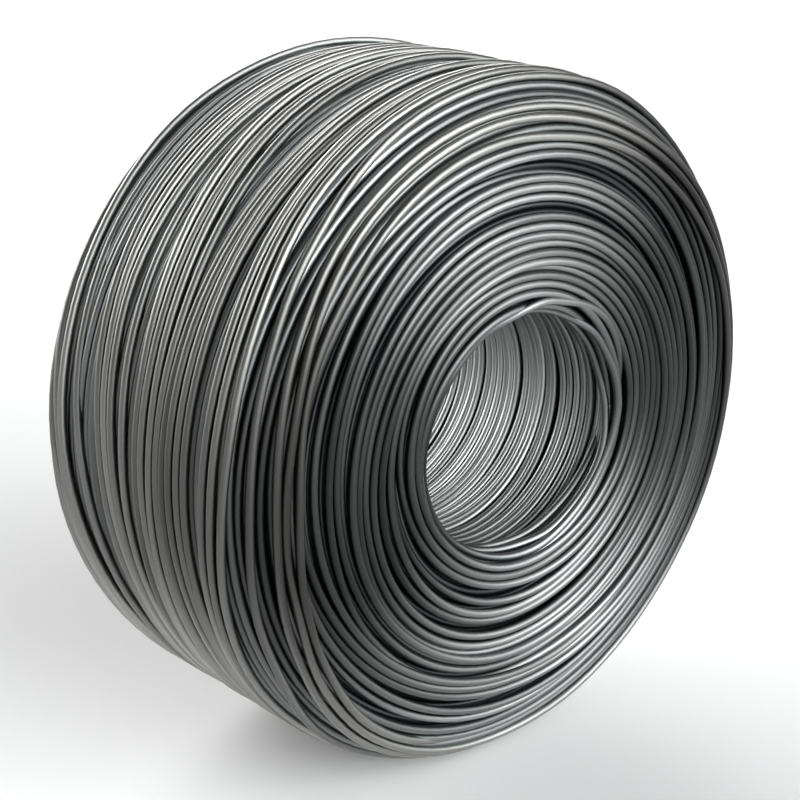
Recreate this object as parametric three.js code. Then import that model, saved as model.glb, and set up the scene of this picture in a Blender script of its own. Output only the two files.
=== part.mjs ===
// A free-standing coil of steel wire rod, wound in level layers and set down on its rim.
// It is one turned solid about the Y axis. Its outline is a straight tread, a full shoulder
// at each end that domes in to the bore, and the bore itself. The turns that lie open to
// view are ridges, one wire apart, that follow the outline, with a deeper gap wherever a
// turn stands off from the next.
// Units are millimetres, +Z is up, and the origin is on the floor under the coil's middle.

import * as THREE from 'three';

// Driving dimensions
const wireDiameter = 5.5;      // round rod in the smallest common rolled size
const coilDiameter = 450;      // over the outermost turns
const boreDiameter = 160;      // the space that the winding block left
const coilWidth = 220;         // over both ends, at the bore's lip
const treadWidth = 137.5;      // straight middle stretch of the outer surface
const shoulderFullness = 3;    // exponent of the end's outline: 2 is an ellipse, more is squarer
const grooveDepth = 2.6;       // from the crests of two turns down to the groove between them
const gapDepth = 6.5;          // where two turns stand apart and the layer below shows
const closeTurns = [3, 4, 2, 5, 3, 2, 4];  // turns that lie close together, from gap to gap
const flatCrestWidth = 3;      // flat on top of the tread's middle turn, where the coil stands
const lipRadius = 4;           // eased edge where an end turns over into the bore
const lipSteps = 3;            // facets across that edge
const sides = 24;              // facets round the coil, one of them level underneath

const brightSteel = new THREE.MeshStandardMaterial({
  name: 'bright_steel',
  color: 0x8d908e,
  roughness: 0.36,
  metalness: 1,
});

// The outline is drawn in the plane of radius (x) and width (y), anticlockwise, so that the
// coil's material lies to the left of every tangent.

// The end on the -Y side: a superellipse from the bore's lip out to the tread.
class EndCurve extends THREE.Curve {
  constructor() {
    super();
    this.innerRadius = boreDiameter / 2 + lipRadius;
    this.outerRadius = coilDiameter / 2;
    this.arcLengthDivisions = 1000;
  }

  getPoint(t, target = new THREE.Vector3()) {
    const power = 2 / shoulderFullness;
    const out = Math.pow(Math.sin(t * Math.PI / 2), power);
    const across = Math.pow(Math.max(0, Math.cos(t * Math.PI / 2)), power);
    const radius = this.innerRadius + (this.outerRadius - this.innerRadius) * out;
    const halfWidth = (treadWidth + (coilWidth - treadWidth) * across) / 2;
    return target.set(radius, -halfWidth, 0);
  }
}

function treadLine() {
  const radius = coilDiameter / 2;
  return new THREE.LineCurve3(
    new THREE.Vector3(radius, -treadWidth / 2, 0),
    new THREE.Vector3(radius, treadWidth / 2, 0),
  );
}

// The bore's wall between the two lips, from the +Y end to the -Y end.
function boreLine() {
  const radius = boreDiameter / 2;
  const halfWidth = coilWidth / 2 - lipRadius;
  return new THREE.LineCurve3(
    new THREE.Vector3(radius, halfWidth, 0),
    new THREE.Vector3(radius, -halfWidth, 0),
  );
}

function below(curve, place, depth) {
  const tangent = curve.getTangentAt(place);
  const inward = new THREE.Vector3(-tangent.y, tangent.x, 0);
  return curve.getPointAt(place).addScaledVector(inward, depth);
}

// Whether a gap follows a turn, counted from the start of a curve.
function gapFollows(turn) {
  let last = -1;
  for (let group = 0; last < turn; group += 1) last += closeTurns[group % closeTurns.length];
  return last === turn;
}

// The same, counted from both ends of the curve to its middle.
function gapFollowsBothWays(turn, turns) {
  return gapFollows(Math.min(turn, turns - 2 - turn));
}

// Whole turns of wire laid side by side along a curve, each a crest with a groove after it.
// A turn's crest is a point, apart from the middle turn's where it is to be flat.
function layTurns(curve, { gapAfter = () => false, middleFlat = 0 } = {}) {
  const turns = Math.max(1, Math.round(curve.getLength() / wireDiameter));
  const points = [];
  for (let turn = 0; turn < turns; turn += 1) {
    const crest = (turn + 0.5) / turns;
    const halfFlat = turn === Math.floor(turns / 2) ? middleFlat / curve.getLength() / 2 : 0;
    if (halfFlat > 0) points.push(curve.getPointAt(crest - halfFlat));
    points.push(curve.getPointAt(crest + halfFlat));
    const depth = gapAfter(turn, turns) ? gapDepth : grooveDepth;
    if (turn < turns - 1) points.push(below(curve, (turn + 1) / turns, depth));
  }
  return points;
}

// The eased edge between the bore and the -Y end, from the bore outwards.
function boreLip() {
  const centreRadius = boreDiameter / 2 + lipRadius;
  const centreHalfWidth = coilWidth / 2 - lipRadius;
  const points = [];
  for (let step = 0; step <= lipSteps; step += 1) {
    const angle = step / lipSteps * Math.PI / 2;
    const radius = centreRadius - lipRadius * Math.cos(angle);
    points.push(new THREE.Vector3(radius, -centreHalfWidth - lipRadius * Math.sin(angle), 0));
  }
  return points;
}

function coilOutline() {
  const tread = treadLine();
  const bore = boreLine();
  const end = [...boreLip(), ...layTurns(new EndCurve(), { gapAfter: gapFollows })];
  const oppositeEnd = end.map((point) => new THREE.Vector3(point.x, -point.y, 0)).reverse();
  return [
    ...end,
    below(tread, 0, grooveDepth),
    ...layTurns(tread, { gapAfter: gapFollowsBothWays, middleFlat: flatCrestWidth }),
    below(tread, 1, grooveDepth),
    ...oppositeEnd,
    ...layTurns(bore),
    end[0],
  ];
}

// Each facet is tangent to the round that it stands for, so sizes across the flats are true.
function turnedCoil() {
  const halfFacet = Math.PI / sides;
  const toCorner = 1 / Math.cos(halfFacet);
  const profile = coilOutline().map((point) => new THREE.Vector2(point.x * toCorner, point.y));
  return new THREE.LatheGeometry(profile, sides, halfFacet);
}

const wireCoil = new THREE.Mesh(turnedCoil(), brightSteel);
wireCoil.name = 'wire_coil';
wireCoil.position.z = coilDiameter / 2;

const coil = new THREE.Group();
coil.add(wireCoil);

export default coil;
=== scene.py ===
import math
import bpy
import numpy as np
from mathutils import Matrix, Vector


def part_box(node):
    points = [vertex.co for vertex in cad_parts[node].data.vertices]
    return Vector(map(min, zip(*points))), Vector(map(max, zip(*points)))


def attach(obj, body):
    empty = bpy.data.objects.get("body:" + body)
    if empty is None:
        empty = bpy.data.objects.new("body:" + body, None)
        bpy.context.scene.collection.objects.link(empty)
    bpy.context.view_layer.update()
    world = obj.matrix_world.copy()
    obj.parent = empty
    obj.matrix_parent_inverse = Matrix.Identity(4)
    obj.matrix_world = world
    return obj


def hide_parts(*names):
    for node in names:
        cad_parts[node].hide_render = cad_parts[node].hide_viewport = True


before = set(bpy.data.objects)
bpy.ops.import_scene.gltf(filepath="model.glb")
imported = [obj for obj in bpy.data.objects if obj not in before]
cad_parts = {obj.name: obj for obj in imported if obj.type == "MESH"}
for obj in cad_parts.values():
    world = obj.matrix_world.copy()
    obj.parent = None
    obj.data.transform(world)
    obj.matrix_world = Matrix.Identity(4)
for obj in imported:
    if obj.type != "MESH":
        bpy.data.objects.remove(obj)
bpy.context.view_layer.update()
coilLow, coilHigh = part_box("wire_coil")
coilRadius = (coilHigh[0] - coilLow[0]) / 2
coilHalfWidth = (coilHigh[1] - coilLow[1]) / 2
coilMiddle = Vector((0, 0, coilRadius))
print("frame loaded: coil", round(coilRadius * 2, 3), "m across,", round(coilHalfWidth * 2, 3), "m wide")

coil = {
    "wire": 0.0055,          # rod diameter
    "boreRadius": 0.080,
    "treadWidth": 0.1375,    # straight middle of the outer surface
    "fullness": 3.0,         # how square the shoulders are
    "press": 0.80,           # how far up one turn lifts the next, in wires
    "margin": 0.55,          # how near a wire's middle may come to the coil's own size, in wires
    "stations": 96,          # places round one turn
    "sides": 12,             # faces round the wires that show
    "seed": 11,
}
wire = coil["wire"]
stations = coil["stations"]
chance = np.random.default_rng(coil["seed"])
roundTurn = np.arange(stations + 1) / stations                  # 0 to 1 round one turn
blend = roundTurn * roundTurn * (3 - 2 * roundTurn)             # the same, eased at both ends


def selectOnly(piece):
    bpy.ops.object.select_all(action="DESELECT")
    piece.select_set(True)
    bpy.context.view_layer.objects.active = piece


def coilOutline(treadDepth, endDepth, innerRadius, lipRound):
    # once round the coil's section from the middle of the bore: bore, -Y end, tread, +Y end, bore
    fullness = coil["fullness"]
    halfTread = coil["treadWidth"] / 2
    outerRadius = coilRadius - treadDepth
    crown = coilHalfWidth - endDepth
    corner = np.linspace(0, math.pi / 2, 24)
    lean = np.linspace(0, math.pi / 2, 500)
    endRadius = innerRadius + (outerRadius - innerRadius) * np.sin(lean) ** (2 / fullness)
    endPlace = halfTread + (crown - halfTread) * np.maximum(np.cos(lean), 0) ** (2 / fullness)
    past = endRadius > innerRadius + lipRound
    radius = np.concatenate([[innerRadius], innerRadius + lipRound * (1 - np.cos(corner)), endRadius[past]])
    place = np.concatenate([[0], crown - lipRound * (1 - np.sin(corner)), endPlace[past]])
    radius = np.concatenate([radius, radius[::-1]])
    place = np.concatenate([-place, place[::-1]])
    along = np.concatenate([[0], np.cumsum(np.hypot(np.diff(radius), np.diff(place)))])
    even = np.linspace(0, along[-1], 2000)
    radius, place = np.interp(even, along, radius), np.interp(even, along, place)
    radiusStep, placeStep = np.gradient(radius), np.gradient(place)
    size = np.hypot(radiusStep, placeStep)
    return {"along": even, "radius": radius, "place": place,
            "outRadius": placeStep / size, "outPlace": -radiusStep / size}


def onOutline(outline, along):
    # the radius and place on the outline, and which way is out there
    return (np.interp(along, outline["along"], outline[key])
            for key in ("radius", "place", "outRadius", "outPlace"))


def roundCoil(outline, along, height, turn):
    # points in the frame from the place along the outline, the height over it and the turns run
    radius, place, outRadius, outPlace = onOutline(outline, along)
    angle = turn * 2 * math.pi
    outward = np.stack([outRadius * np.cos(angle), outPlace, outRadius * np.sin(angle)], axis=1)
    radius, place = radius + outRadius * height, place + outPlace * height
    return np.stack([radius * np.cos(angle), place, radius * np.sin(angle) + coilRadius], axis=1), outward


def wander(size, harmonics):
    # one smooth wave round the coil
    total = np.zeros(stations + 1)
    for count in harmonics:
        total += chance.normal() / count * np.sin(2 * math.pi * (count * roundTurn + chance.random()))
    return total * size


def wanderRun(turns, bundle, bundleSize, ownSize):
    # neighbouring turns share a wave and add a little of their own, and each turn ends where the next begins
    waves = []
    while len(waves) < turns + 1:
        shared = wander(bundleSize, (1, 2, 3))
        for _ in range(int(chance.integers(bundle[0], bundle[1] + 1))):
            waves.append(shared + wander(ownSize, (2, 3, 4, 5)))
    return np.array([waves[i] * (1 - blend) + waves[i + 1] * blend for i in range(turns)])


def softened(run, passes):
    for _ in range(passes):
        run = np.concatenate([run[:1], (run[:-2] + 2 * run[1:-1] + run[2:]) / 4, run[-1:]])
    return run


def dip(run, turn, draw, middle, spread, halfLength):
    # rises to 1 and falls again near a drawn place on one turn
    away = np.abs(run - turn - draw.normal(middle, spread)) / draw.uniform(*halfLength)
    return np.cos(np.clip(away, 0, 1) * math.pi / 2) ** 2


def oneRun(turns):
    # a single run of wire from its turns, without the station that each shares with the next
    return np.concatenate([turns[0]] + [turn[1:] for turn in turns[1:]])


def closedTurns(run):
    # each turn with the first station of the next one at its end
    return np.array([np.append(row, after) for row, after in zip(run[:-1], run[1:, 0])])


def wirePiece(name, points, outward, shadeOffset, sides):
    # a wire through the points; the place along it and the side that faces out are kept for the finish,
    # and where it lies under other turns it counts as facing out less, which paints shade on it there
    curve = bpy.data.curves.new(name, "CURVE")
    curve.dimensions = "3D"
    curve.twist_mode = "MINIMUM"
    spline = curve.splines.new("POLY")
    spline.points.add(len(points) - 1)
    spline.points.foreach_set("co", np.column_stack([points, np.ones(len(points))]).ravel())
    curve.bevel_depth = wire / 2
    curve.bevel_resolution = sides // 2 - 2
    curve.use_fill_caps = True
    piece = bpy.data.objects.new(name, curve)
    bpy.context.collection.objects.link(piece)
    selectOnly(piece)
    bpy.ops.object.convert(target="MESH")
    bpy.ops.object.shade_smooth()
    piece = bpy.context.view_layer.objects.active
    mesh = piece.data
    corners = len(mesh.loops)
    uv, owner = np.zeros(corners * 2, np.float32), np.zeros(corners, np.int32)
    mesh.uv_layers[0].data.foreach_get("uv", uv)
    mesh.loops.foreach_get("vertex_index", owner)
    uv = uv.reshape(-1, 2)
    length = np.linalg.norm(np.diff(points, axis=0), axis=1).sum()
    onWire = np.zeros((len(mesh.vertices), 3), np.float32)
    onWire[owner] = np.stack([uv[:, 0] * length, np.cos(uv[:, 1] * 2 * math.pi) * wire / 2,
                              np.sin(uv[:, 1] * 2 * math.pi) * wire / 2], axis=1)
    mesh.attributes.new("onWire", "FLOAT_VECTOR", "POINT").data.foreach_set("vector", onWire.ravel())
    place = np.zeros(len(mesh.vertices), np.int64)
    place[owner] = np.round(uv[:, 0] * (len(points) - 1)).astype(np.int64)
    spots = np.zeros(len(mesh.vertices) * 3, np.float32)
    mesh.vertices.foreach_get("co", spots)
    facing = ((spots.reshape(-1, 3) - points[place]) * outward[place]).sum(axis=1) / (wire / 2)
    facing = facing - shadeOffset[place]
    mesh.attributes.new("facingOut", "FLOAT", "POINT").data.foreach_set("value", facing.astype(np.float32))
    print(name, "made:", round(float(length), 1), "m of wire,", len(mesh.polygons), "faces")
    return piece


# the level at which the middles of the outer turns lie
skin = {
    "treadDepth": wire * 1.60,
    "endDepth": wire * 0.93,
    "lipRadius": coil["boreRadius"] + wire * 0.62,
    "lipRound": wire * 0.9,
    "pitch": 1.07,             # in wires
    "bundle": (1, 3),          # turns that wander together
    "endWander": 0.80,
    "treadWander": 0.35,
    "boreWander": 0.30,
    "ownWander": 0.16,
    "endRise": 0.42,           # how far turns stand out of the surface and sink in
    "treadRise": 0.10,
    "boreRise": 0.22,
    "ownRise": 0.30,
    "mostRise": 0.45,
    "quiet": 4,                # wires near each end of the run that don't wander
    "dives": 0.30,             # share of the turns that dip under their neighbours for a while
    "diveDepth": 0.95,
    "diveMiddle": 0.50,
    "diveSpread": 0.20,
    "diveLength": (0.16, 0.34),
    "settling": 160,
    "deepest": 1.00,           # how far in and out a turn's middle may end, in wires
    "highest": (0.25, 0.30, 0.35),         # on the tread, on the ends and in the bore
    "endFade": 0.35,           # share of each end over which it turns from tread to end
}
skinOutline = coilOutline(skin["treadDepth"], skin["endDepth"], skin["lipRadius"], skin["lipRound"])
skinLength = skinOutline["along"][-1]
# where the bore turns over into the end
lipPlace = coilHalfWidth - skin["endDepth"] - skin["lipRound"] * 0.2
endLength = (skinLength - coil["treadWidth"]) / 2 - lipPlace


def shareBeyond(along, edge, fade):
    # 0 up to an edge measured from the middle of the tread, rising to 1 past it
    return np.clip((np.abs(along - skinLength / 2) - edge) / fade, 0, 1)


def surfaceMix(along, onTread, onEnd, inBore):
    end = shareBeyond(along, coil["treadWidth"] / 2, endLength * skin["endFade"])
    bore = shareBeyond(along, coil["treadWidth"] / 2 + endLength - wire, wire * 2)
    return onTread * (1 - end) + onEnd * (end - bore) + inBore * bore


def roomAbove(along):
    # how far a wire's middle may stand over the surface before the wire leaves the coil's own size
    radius, place, outRadius, outPlace = onOutline(skinOutline, along)
    margin, leastSlope = wire * coil["margin"], 0.05
    outward = (coilRadius - margin - radius) / np.maximum(outRadius, leastSlope)
    sideways = (coilHalfWidth - margin - np.abs(place)) / np.maximum(np.abs(outPlace), leastSlope)
    return np.minimum(outward, sideways)


settle = {
    "pull": 0.10,              # how strongly a turn is drawn back to its own place
    "latePull": 0.02,
    "late": 0.60,              # share of the passes after which it is let go
    "leastGap": 0.20,          # nearest that two turns come along the surface, in wires
}


def settleTurns(along, height, passes):
    # turns that would overlap push each other apart while each is drawn to its own place
    aimAlong, aimHeight = along.copy(), height.copy()
    turns = len(along)
    for step in range(passes):
        pull = settle["pull"] if step < passes * settle["late"] else settle["latePull"]
        along = along + (aimAlong - along) * pull
        height = height + (aimHeight - height) * pull
        for reach in (1, 2):
            gap = np.maximum(along[reach:] - along[:-reach], wire * settle["leastGap"] * reach)
            rise = height[reach:] - height[:-reach]
            apart = np.hypot(gap, rise)
            push = np.maximum(wire - apart, 0) / apart * 0.5
            along[:-reach] -= push * gap
            along[reach:] += push * gap
            height[:-reach] -= push * rise
            height[reach:] += push * rise
        along = softened(along.ravel(), 2).reshape(turns, -1)
        height = softened(height.ravel(), 2).reshape(turns, -1)
    return along, height


skinTurns = int(skinLength / (wire * skin["pitch"]))
base = (np.arange(skinTurns)[:, None] + roundTurn[None, :-1]) * skinLength / skinTurns
calm = np.clip(np.minimum(base, skinLength - base) / (wire * skin["quiet"]), 0, 1)
bundleWave = wanderRun(skinTurns, skin["bundle"], wire, 0)[:, :-1]
ownWave = wanderRun(skinTurns, (1, 1), 0, wire * skin["ownWander"])[:, :-1]
riseWave = wanderRun(skinTurns, (1, 2), wire, wire * skin["ownRise"])[:, :-1]
wanderSize = surfaceMix(base, skin["treadWander"], skin["endWander"], skin["boreWander"])
riseSize = surfaceMix(base, skin["treadRise"], skin["endRise"], skin["boreRise"])
skinRun = np.arange(skinTurns * stations) / stations
dive = np.zeros(skinTurns * stations)
for turn in range(1, skinTurns - 1):
    if chance.random() < skin["dives"]:
        here = dip(skinRun, turn, chance, skin["diveMiddle"], skin["diveSpread"], skin["diveLength"])
        dive = np.maximum(dive, here)
diveSize = surfaceMix(base, 0, skin["diveDepth"], 0) * wire
skinAlong = base + (bundleWave * wanderSize + ownWave) * calm
mostRise = wire * skin["mostRise"]
skinHeight = np.clip(riseWave * riseSize, -mostRise, mostRise) * calm - dive.reshape(skinTurns, -1) * diveSize
skinAlong, skinHeight = settleTurns(skinAlong, skinHeight, skin["settling"])
skinHeight = np.clip(skinHeight, -wire * skin["deepest"], wire * surfaceMix(skinAlong, *skin["highest"]))
skinPoints, skinOutward = roundCoil(
    skinOutline, skinAlong.ravel(), softened(skinHeight.ravel(), 4), skinRun)
firstLip = int(lipPlace / skinLength * skinTurns) * stations        # stations where the run leaves the bore
lastLip = len(skinPoints) - firstLip
gaps = np.diff(skinAlong, axis=0) / wire
print("outer turns settled:", skinTurns, "turns, gaps from", round(float(gaps.min()), 2),
      "to", round(float(gaps.max()), 2), "wires")

# the layer below, which shows only through the gaps
under = {"depth": 1.20, "pitch": 1.02, "bundle": (1, 3), "wander": 0.22, "ownWander": 0.06, "sides": 8}
underTurns = int(skinLength / (wire * under["pitch"]))
underBase = (np.arange(underTurns)[:, None] + roundTurn[None, :]) * skinLength / underTurns
underAlong = underBase + wanderRun(
    underTurns, under["bundle"], wire * under["wander"], wire * under["ownWander"])
underHeight = np.full(underTurns * stations + 1, -wire * under["depth"])
underRun = np.arange(underTurns * stations + 1) / stations
underPoints, underOutward = roundCoil(skinOutline, oneRun(underAlong), underHeight, underRun)

# the last layer, which covers the tread and part of the shoulders
top = {
    "pitch": 1.16,             # inside a bundle
    "bundle": (2, 5),
    "parting": (0.3, 1.5),     # between bundles, in wires
    "spread": 0.20,            # how much wider apart the turns lie on top of the coil
    "widest": 0.28,            # where that is, as a share of a turn
    "leastRoom": 0.72,         # it stays off the ends, where it would stand out too far
    "bundleWander": 2.00,
    "ownWander": 0.28,
    "settling": 50,
    "reach": 0.34,             # share of each end that it covers
    "limit": 1.10,             # highest that a middle may lie, in wires over the level
    "tuck": 0.12,              # share of a turn in which its ends dive under
    "tuckDepth": 2.2,
    "slides": 10,              # how often a turn slides off the crests below it
    "slideStep": 0.10,
    "drawBack": 0.15,          # how strongly it keeps to its own place meanwhile
    "sinks": 0.42,             # share of its turns that sink between the others on top of the coil
    "sinkDepth": 0.75,
    "sinkSpread": 0.05,
    "sinkLength": (0.18, 0.30),
}


def restingHeight(along, laidAlong, laidHeight):
    gap = np.abs(laidAlong - along)
    lift = np.sqrt(np.maximum(wire ** 2 - gap ** 2, 0)) * coil["press"]
    return np.where(gap < wire, laidHeight + lift, -wire * 1.5).max(axis=0)


def layTurn(target, start, laidAlong, laidHeight):
    # the turn slides off the crests below it towards the nearest groove
    along = target.copy()
    nudge = wire * 0.05
    for _ in range(top["slides"]):
        before = restingHeight(along - nudge, laidAlong, laidHeight)
        after = restingHeight(along + nudge, laidAlong, laidHeight)
        slope = np.clip((before - after) / (2 * nudge), -1.5, 1.5)
        along = along + slope * wire * top["slideStep"] + (target - along) * top["drawBack"]
        along = softened(along, 2)
        if start is not None:
            along[0] = start[0]
    height = restingHeight(along, laidAlong, laidHeight)
    if start is not None:
        height[0] = start[1]
    return along, softened(height, 6)


def tuckEnds(height, depth):
    # both ends of a run dive under the turns beside them
    toEnd = np.minimum(np.arange(len(height)), np.arange(len(height))[::-1]) / (stations * top["tuck"])
    return height - depth * np.clip(1 - toEnd, 0, 1) ** 2


laidAlong, laidHeight = closedTurns(skinAlong), closedTurns(skinHeight)
topReach = coil["treadWidth"] / 2 + endLength * top["reach"]
topAim, placeNow = [], 0
while placeNow < 2 * topReach:
    shared = wander(wire * top["bundleWander"], (1, 2, 3, 4))
    for _ in range(int(chance.integers(top["bundle"][0], top["bundle"][1] + 1))):
        topAim.append(placeNow + shared + wander(wire * top["ownWander"], (2, 3, 4, 5)))
        placeNow += wire * top["pitch"]
    placeNow += wire * chance.uniform(*top["parting"])
topAim = np.array([here * (1 - blend) + after * blend for here, after in zip(topAim[:-1], topAim[1:])])
topAim = topAim[:, :-1]
topTurns = len(topAim) - 1
roomy = skinOutline["along"][roomAbove(skinOutline["along"]) > wire * top["leastRoom"]]
furthest = roomy[roomy > skinLength / 2].max() - skinLength / 2
spread = 1 + top["spread"] * np.cos(2 * math.pi * (roundTurn[:-1] - top["widest"]))
topAim = (topAim - topAim.mean()) * spread
topAim *= min(1, furthest / np.abs(topAim).max())
topAim = settleTurns(topAim, np.zeros_like(topAim), top["settling"])[0]
topAim = skinLength / 2 - topAim
topAlong, topHeight, start = [], [], None
for i in range(topTurns):
    along, height = layTurn(np.append(topAim[i], topAim[i + 1, 0]), start, laidAlong, laidHeight)
    start = (along[-1], height[-1])
    laidAlong, laidHeight = np.vstack([laidAlong, along]), np.vstack([laidHeight, height])
    topAlong.append(along)
    topHeight.append(height)
quarter = stations // 4
# it is cut so that both ends lie underneath the coil
topAlong, topHeight = (oneRun(run)[3 * quarter:-quarter] for run in (topAlong, topHeight))
topRun = (np.arange(len(topHeight)) + 3 * quarter) / stations
sinkChance = np.random.default_rng(coil["seed"] + 1)
for turn in range(1, topTurns):
    if sinkChance.random() < top["sinks"]:
        here = dip(topRun, turn, sinkChance, top["widest"], top["sinkSpread"], top["sinkLength"])
        topHeight = topHeight - here * wire * top["sinkDepth"]
topRoof = np.minimum(roomAbove(topAlong), wire * top["limit"])
topHeight = tuckEnds(softened(np.minimum(topHeight, topRoof), 4), wire * top["tuckDepth"])
topPoints, topOutward = roundCoil(skinOutline, topAlong, topHeight, topRun)
print("last layer laid:", topTurns, "turns, highest", round(float(topHeight.max() / wire), 2), "wires up")

# turns that stray over each lip of the bore
lip = {
    "turns": 3,
    "pitch": 1.25,
    "into": 1.6,               # how far into the bore they lie
    "stray": 1.3,              # how far they swing out of it and back
    "phases": (0.02, 0.40),    # where they lie furthest out, in front and at the back
    "wander": 0.35,
    "ownWander": 0.15,
    "limit": (0, 0.30, 0.85),  # highest on the tread, on the ends and in the bore
    "tuckDepth": 2.0,
}
lipRuns = []
for side, phase in zip((-1, 1), lip["phases"]):
    lipAlong, lipHeight, start = [], [], None
    lipEdge = skinLength / 2 + side * (coil["treadWidth"] / 2 + endLength)
    lipWave = wanderRun(lip["turns"], (1, 2), wire * lip["wander"], wire * lip["ownWander"])
    for i in range(lip["turns"]):
        stray = np.cos(2 * math.pi * (roundTurn - phase)) * wire * lip["stray"]
        laid = (i + roundTurn - lip["turns"] / 2) * wire * lip["pitch"]
        target = lipEdge + side * (wire * lip["into"] - stray) - laid + lipWave[i]
        along, height = layTurn(target, start, laidAlong, laidHeight)
        start = (along[-1], height[-1])
        lipAlong.append(along)
        lipHeight.append(height)
    lipAlong, lipHeight = oneRun(lipAlong), oneRun(lipHeight)
    roof = wire * surfaceMix(lipAlong, *lip["limit"])
    lipHeight = tuckEnds(softened(np.minimum(lipHeight, roof), 6), wire * lip["tuckDepth"])
    lipRuns.append(roundCoil(skinOutline, lipAlong, lipHeight, np.arange(len(lipHeight)) / stations))

# painted shade on turns that lie deep or under others, which count as facing out less
paintedShade = {
    "underTop": 0.28,          # on the outer turns under the last layer
    "fade": 6,                 # wires over which that ends
    "deepFrom": 0.25,          # wires below the level
    "deepMost": 0.80,
    "lowFrom": 0.55,           # turns of the last layer that lie lower than this, in wires
    "lowMost": 0.48,
}
fade = wire * paintedShade["fade"]
skinShade = paintedShade["underTop"] * (1 - shareBeyond(skinAlong.ravel(), topReach * 0.9, fade))
skinShade += np.clip(-skinHeight.ravel() / wire - paintedShade["deepFrom"], 0, paintedShade["deepMost"])
topShade = np.clip(paintedShade["lowFrom"] - topHeight / wire, 0, paintedShade["lowMost"])
topShade = topShade * (1 - shareBeyond(topAlong, coil["treadWidth"] / 2, fade))

skinParts = (skinPoints, skinOutward, skinShade)
wirePiece("outer_turns", *(run[firstLip:lastLip + 1] for run in skinParts), coil["sides"])
boreOrder = np.concatenate([np.arange(lastLip, len(skinPoints)), np.arange(firstLip + 1)])
wirePiece("bore_turns", *(run[boreOrder] for run in skinParts), coil["sides"])
wirePiece("last_layer_turns", topPoints, topOutward, topShade, coil["sides"])
for name, run in zip(("front_lip_turns", "back_lip_turns"), lipRuns):
    wirePiece(name, *run, np.zeros(len(run[0])), coil["sides"])
wirePiece("lower_turns", underPoints, underOutward, np.zeros(len(underPoints)), under["sides"])

# what lies under the wires
core = {"treadDepth": 3.1, "endDepth": 2.5, "boreDepth": 2.2, "lipRound": 0.5, "steps": 96}      # in wires
section = coilOutline(wire * core["treadDepth"], wire * core["endDepth"],
                      coil["boreRadius"] + wire * core["boreDepth"], wire * core["lipRound"])
mesh = bpy.data.meshes.new("coil_core")
ring = [(r, y, coilRadius) for r, y in zip(section["radius"][:-1:20], section["place"][:-1:20])]
mesh.from_pydata(ring, [(i, (i + 1) % len(ring)) for i in range(len(ring))], [])
corePiece = bpy.data.objects.new("coil_core", mesh)
bpy.context.collection.objects.link(corePiece)
selectOnly(corePiece)
bpy.ops.object.mode_set(mode="EDIT")
bpy.ops.mesh.select_all(action="SELECT")
bpy.ops.mesh.spin(steps=core["steps"], angle=2 * math.pi, center=coilMiddle, axis=(0, 1, 0))
bpy.ops.mesh.select_all(action="SELECT")
bpy.ops.mesh.remove_doubles(threshold=0.0001)
bpy.ops.mesh.normals_make_consistent(inside=False)
bpy.ops.object.mode_set(mode="OBJECT")
print("core made:", len(corePiece.data.polygons), "faces")


# patches of painted shade on the turns, and how much each darkens them at its middle
shadePatches = (
    {"middle": (-0.138, -0.108, 0.230), "radius": 0.165, "height": 0.195, "share": 0.84},
    {"middle": (0.166, -0.100, 0.262), "radius": 0.172, "height": 0.310, "share": 0.84},
    {"middle": (-0.225, 0.020, 0.235), "radius": 0.125, "height": 0.175, "share": 0.54},
)

steel = {
    "streaks": (12, 1100, 1100),     # how fine, along the wire and across it
    "streakDetail": 3.0,
    "patches": (3, 100, 100),
    "patchDetail": 2.0,
    "patchRange": (0.35, 0.65),      # the part of the noise that is used
    "patchTones": (0.62, 1.35),      # how dark and how light the patches are
    "streakRange": (0.30, 0.70),
    "roughSteps": (-0.06, 0.08),
    "bump": 0.30,
    "bumpHeight": 0.0002,
    "deep": (0.80, 0.15),            # where the painted light in the bore starts, and where it is strongest
    "shadeFull": 0.70,
}


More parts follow.
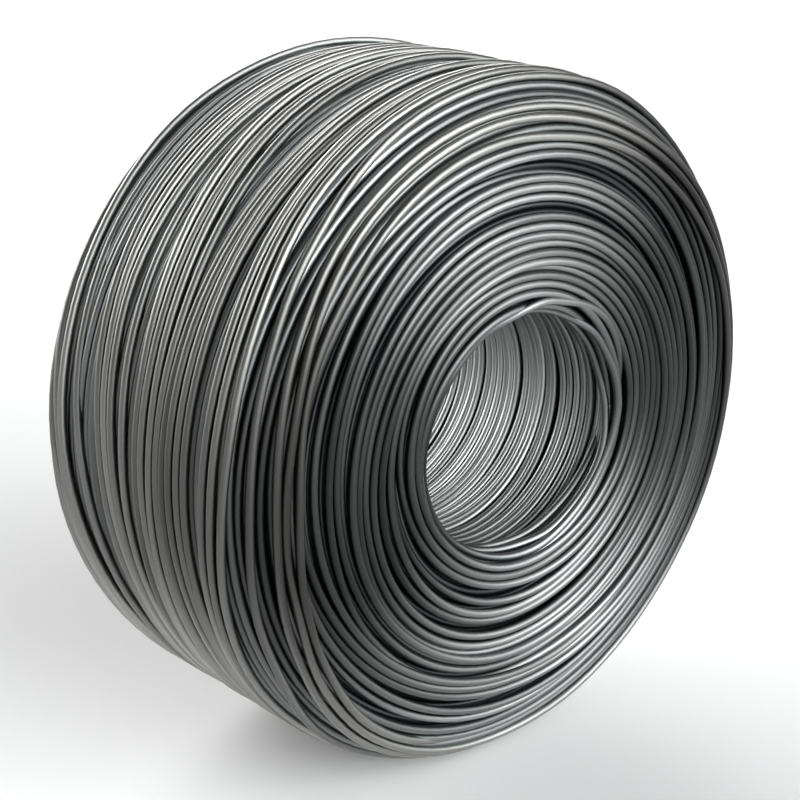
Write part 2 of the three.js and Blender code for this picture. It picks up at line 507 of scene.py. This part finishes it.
def drawnSteel(name, crest, groove, roughness, sideShadeFade, boreLightGain=None, shadePatched=False):
    # drawn wire: bright where it faces out and darker down its sides, painted shade between the turns, and
    # streaks along its length
    material = bpy.data.materials.new(name)
    material.use_nodes = True
    nodes, links = material.node_tree.nodes, material.node_tree.links
    shader = nodes["Principled BSDF"]
    shader.inputs["Metallic"].default_value = 1.0

    def add(kind, **values):
        node = nodes.new(kind)
        for key, value in values.items():
            setattr(node, key, value)
        return node

    def mapped(source, low, high, toLow=0.0, toHigh=1.0, soft=False):
        node = add("ShaderNodeMapRange", interpolation_type="SMOOTHSTEP" if soft else "LINEAR")
        for socket, value in (("From Min", low), ("From Max", high), ("To Min", toLow), ("To Max", toHigh)):
            node.inputs[socket].default_value = value
        links.new(source, node.inputs["Value"])
        return node.outputs["Result"]

    def noiseAlong(scale, detail):
        stretch = add("ShaderNodeMapping")
        stretch.inputs["Scale"].default_value = scale
        links.new(place.outputs["Vector"], stretch.inputs["Vector"])
        noise = add("ShaderNodeTexNoise")
        noise.inputs["Scale"].default_value = 1.0
        noise.inputs["Detail"].default_value = detail
        links.new(stretch.outputs["Vector"], noise.inputs["Vector"])
        return noise.outputs["Fac"]

    place = add("ShaderNodeAttribute", attribute_name="onWire")
    facing = add("ShaderNodeAttribute", attribute_name="facingOut")
    streaks = noiseAlong(steel["streaks"], steel["streakDetail"])
    patches = noiseAlong(steel["patches"], steel["patchDetail"])
    # painted shade between the turns: the groove colour down the sides, the crest colour where the wire faces
    # out
    colour = add("ShaderNodeMix", data_type="RGBA")
    colour.inputs["A"].default_value = (*groove, 1)
    colour.inputs["B"].default_value = (*crest, 1)
    links.new(mapped(facing.outputs["Fac"], *sideShadeFade, soft=True), colour.inputs["Factor"])
    if boreLightGain:
        # painted light: lighter metal deep in the bore
        where = add("ShaderNodeTexCoord")
        split = add("ShaderNodeSeparateXYZ")
        links.new(where.outputs["Object"], split.inputs["Vector"])
        depth = add("ShaderNodeMath", operation="ABSOLUTE")
        links.new(split.outputs["Y"], depth.inputs[0])
        deep = mapped(depth.outputs["Value"], *(coilHalfWidth * share for share in steel["deep"]), soft=True)
        for socket, here in (("A", groove), ("B", crest)):
            mixed = add("ShaderNodeMix", data_type="RGBA")
            mixed.inputs["A"].default_value = (*here, 1)
            mixed.inputs["B"].default_value = (*(part * boreLightGain for part in here), 1)
            links.new(deep, mixed.inputs["Factor"])
            links.new(mixed.outputs["Result"], colour.inputs[socket])
    tone = mapped(patches, *steel["patchRange"], *steel["patchTones"])
    # patches of painted shade darken the tone
    for patch in shadePatches if shadePatched else ():
        near = add("ShaderNodeTexCoord")
        centred = add("ShaderNodeMapping", vector_type="TEXTURE")
        centred.inputs["Location"].default_value = patch["middle"]
        centred.inputs["Scale"].default_value = (patch["radius"], patch["radius"], patch["height"])
        links.new(near.outputs["Object"], centred.inputs["Vector"])
        ball = add("ShaderNodeTexGradient", gradient_type="SPHERICAL")
        links.new(centred.outputs["Vector"], ball.inputs["Vector"])
        patchShade = mapped(ball.outputs["Fac"], 0.0, steel["shadeFull"], 1.0, 1 - patch["share"], soft=True)
        both = add("ShaderNodeMath", operation="MULTIPLY")
        links.new(tone, both.inputs[0])
        links.new(patchShade, both.inputs[1])
        tone = both.outputs["Value"]
    shade = add("ShaderNodeVectorMath", operation="SCALE")
    links.new(colour.outputs["Result"], shade.inputs["Vector"])
    links.new(tone, shade.inputs["Scale"])
    links.new(shade.outputs["Vector"], shader.inputs["Base Color"])
    rough = mapped(streaks, *steel["streakRange"], *(roughness + step for step in steel["roughSteps"]))
    links.new(rough, shader.inputs["Roughness"])
    bump = add("ShaderNodeBump")
    bump.inputs["Strength"].default_value = steel["bump"]
    bump.inputs["Distance"].default_value = steel["bumpHeight"]
    links.new(streaks, bump.inputs["Height"])
    links.new(bump.outputs["Normal"], shader.inputs["Normal"])
    return material


# the fade is how far a spot faces out where the painted shade down the wire's sides starts to thin, and where
# it is gone;
# the gain is how much lighter the metal is painted deep in the bore, painted light there
bright = drawnSteel("bright_wire", crest=(0.256, 0.263, 0.260), groove=(0.128, 0.138, 0.141),
                    roughness=0.40, sideShadeFade=(-0.14, 0.61), shadePatched=True)
# the last layer is painted lighter than the turns on the ends, painted light on the tread
tread = drawnSteel("tread_wire", crest=(0.310, 0.310, 0.298), groove=(0.183, 0.192, 0.191),
                   roughness=0.42, sideShadeFade=(-0.20, 0.56), shadePatched=True)
# painted light deep in the bore
inner = drawnSteel("inner_wire", crest=(0.214, 0.220, 0.217), groove=(0.085, 0.092, 0.093),
                   roughness=0.38, sideShadeFade=(0, 0.75), boreLightGain=1.8)
# the layer below is painted much darker than the turns over it, painted shade in the gaps
lower = drawnSteel("lower_wire", crest=(0.069, 0.074, 0.078), groove=(0.017, 0.019, 0.020),
                   roughness=0.36, sideShadeFade=(0, 0.8))
# the core is painted near black, painted shade where it shows between the turns
dark = bpy.data.materials.new("dark_core")
dark.use_nodes = True
dark.node_tree.nodes["Principled BSDF"].inputs["Base Color"].default_value = (0.01, 0.01, 0.01, 1)
finishes = {
    "outer_turns": bright,
    "bore_turns": inner,
    "last_layer_turns": tread,
    "front_lip_turns": bright,
    "back_lip_turns": bright,
    "lower_turns": lower,
    "coil_core": dark,
}
for name, finish in finishes.items():
    piece = bpy.data.objects[name]
    piece.data.materials.append(finish)
    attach(piece, "root")
    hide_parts("wire_coil")
print("finished:", len(finishes), "pieces")

studio = {
    "floorSize": 30,
    "floorTone": 0.88,
    "paleBand": (0.20, 0.32),        # heights of a direction between which the world goes from pale to dark
    "above": 0.03,                   # how light it is above that
    "lampDistance": 3,
}

# floor
bpy.ops.object.select_all(action="DESELECT")
bpy.ops.mesh.primitive_plane_add(size=studio["floorSize"], location=(0, 0, 0))
floor = bpy.context.view_layer.objects.active
floor.name = "studio_floor"
pale = bpy.data.materials.new("pale_floor")
pale.use_nodes = True
shader = pale.node_tree.nodes["Principled BSDF"]
shader.inputs["Base Color"].default_value = (*[studio["floorTone"]] * 3, 1)
shader.inputs["Roughness"].default_value = 0.9
shader.inputs["Specular IOR Level"].default_value = 0.1
floor.data.materials.append(pale)


def directionTo(azimuth, elevation):
    # 0 is in front of the coil, and 90 on its +X side
    azimuth, elevation = math.radians(azimuth), math.radians(elevation)
    return Vector((math.sin(azimuth) * math.cos(elevation),
                   -math.cos(azimuth) * math.cos(elevation), math.sin(elevation)))


# camera
shot = {
    "azimuth": -42.0,
    "elevation": 19.9,
    "distance": 1.2445,
    "aimRight": -0.0074,
    "aimUp": -0.0042,
    "lens": 85.45,
}
back = directionTo(shot["azimuth"], shot["elevation"])
right = directionTo(shot["azimuth"] + 90, 0)
up = back.cross(right)
aim = coilMiddle + right * shot["aimRight"] + up * shot["aimUp"]
bpy.ops.object.camera_add(location=aim + back * shot["distance"])
camera = bpy.context.view_layer.objects.active
camera.rotation_euler = (-back).to_track_quat("-Z", "Y").to_euler()
camera.data.lens = shot["lens"]
camera.data.sensor_width = 36
bpy.context.scene.camera = camera


def softLamp(name, azimuth, elevation, spread, brightness, colour=(1, 1, 1)):
    # brightness is that of the lamp's face; a white surface that faces it gets the strength that gives
    toward = directionTo(azimuth, elevation)
    bpy.ops.object.light_add(type="SUN", location=coilMiddle + toward * studio["lampDistance"])
    lamp = bpy.context.view_layer.objects.active
    lamp.name = name
    lamp.data.angle = math.radians(spread)
    lamp.data.energy = brightness * math.pi * math.sin(math.radians(spread / 2)) ** 2
    lamp.data.color = colour
    lamp.rotation_euler = toward.to_track_quat("Z", "Y").to_euler()


cool, warm = (0.97, 0.99, 1), (1, 0.99, 0.97)
# azimuth, elevation, spread and brightness
softLamp("right_low_box", 30, 9, 40, 3, cool)
softLamp("front_low_box", -2, 11, 42, 3.5, cool)
softLamp("left_low_box", -34, 16, 36, 0.8, cool)
softLamp("right_box", 13, 25, 42, 3, cool)
softLamp("front_box", -12, 30, 40, 2.1, cool)
softLamp("right_high_box", 34, 42, 40, 2, cool)
softLamp("back_right_low_box", 146, 10, 42, 4.4)
softLamp("back_low_box", 180, 8, 40, 4.1)
softLamp("back_left_low_box", 212, 8, 40, 2.4, warm)
softLamp("back_right_box", 154, 30, 44, 2.9)
softLamp("back_box", 200, 33, 44, 1.6)

# pale near the horizon and dark above
world = bpy.data.worlds.new("studio")
bpy.context.scene.world = world
world.use_nodes = True
nodes, links = world.node_tree.nodes, world.node_tree.links
nodes["Background"].inputs["Color"].default_value = (1, 1, 1, 1)
where = nodes.new("ShaderNodeTexCoord")
split = nodes.new("ShaderNodeSeparateXYZ")
links.new(where.outputs["Generated"], split.inputs["Vector"])
wall = nodes.new("ShaderNodeMapRange")
wallEnds = (*studio["paleBand"], 1.0, studio["above"])
for socket, value in zip(("From Min", "From Max", "To Min", "To Max"), wallEnds):
    wall.inputs[socket].default_value = value
links.new(split.outputs["Z"], wall.inputs["Value"])
links.new(wall.outputs["Result"], nodes["Background"].inputs["Strength"])

bpy.context.scene.view_settings.view_transform = "Standard"
print("floor, camera, lamps and world placed")
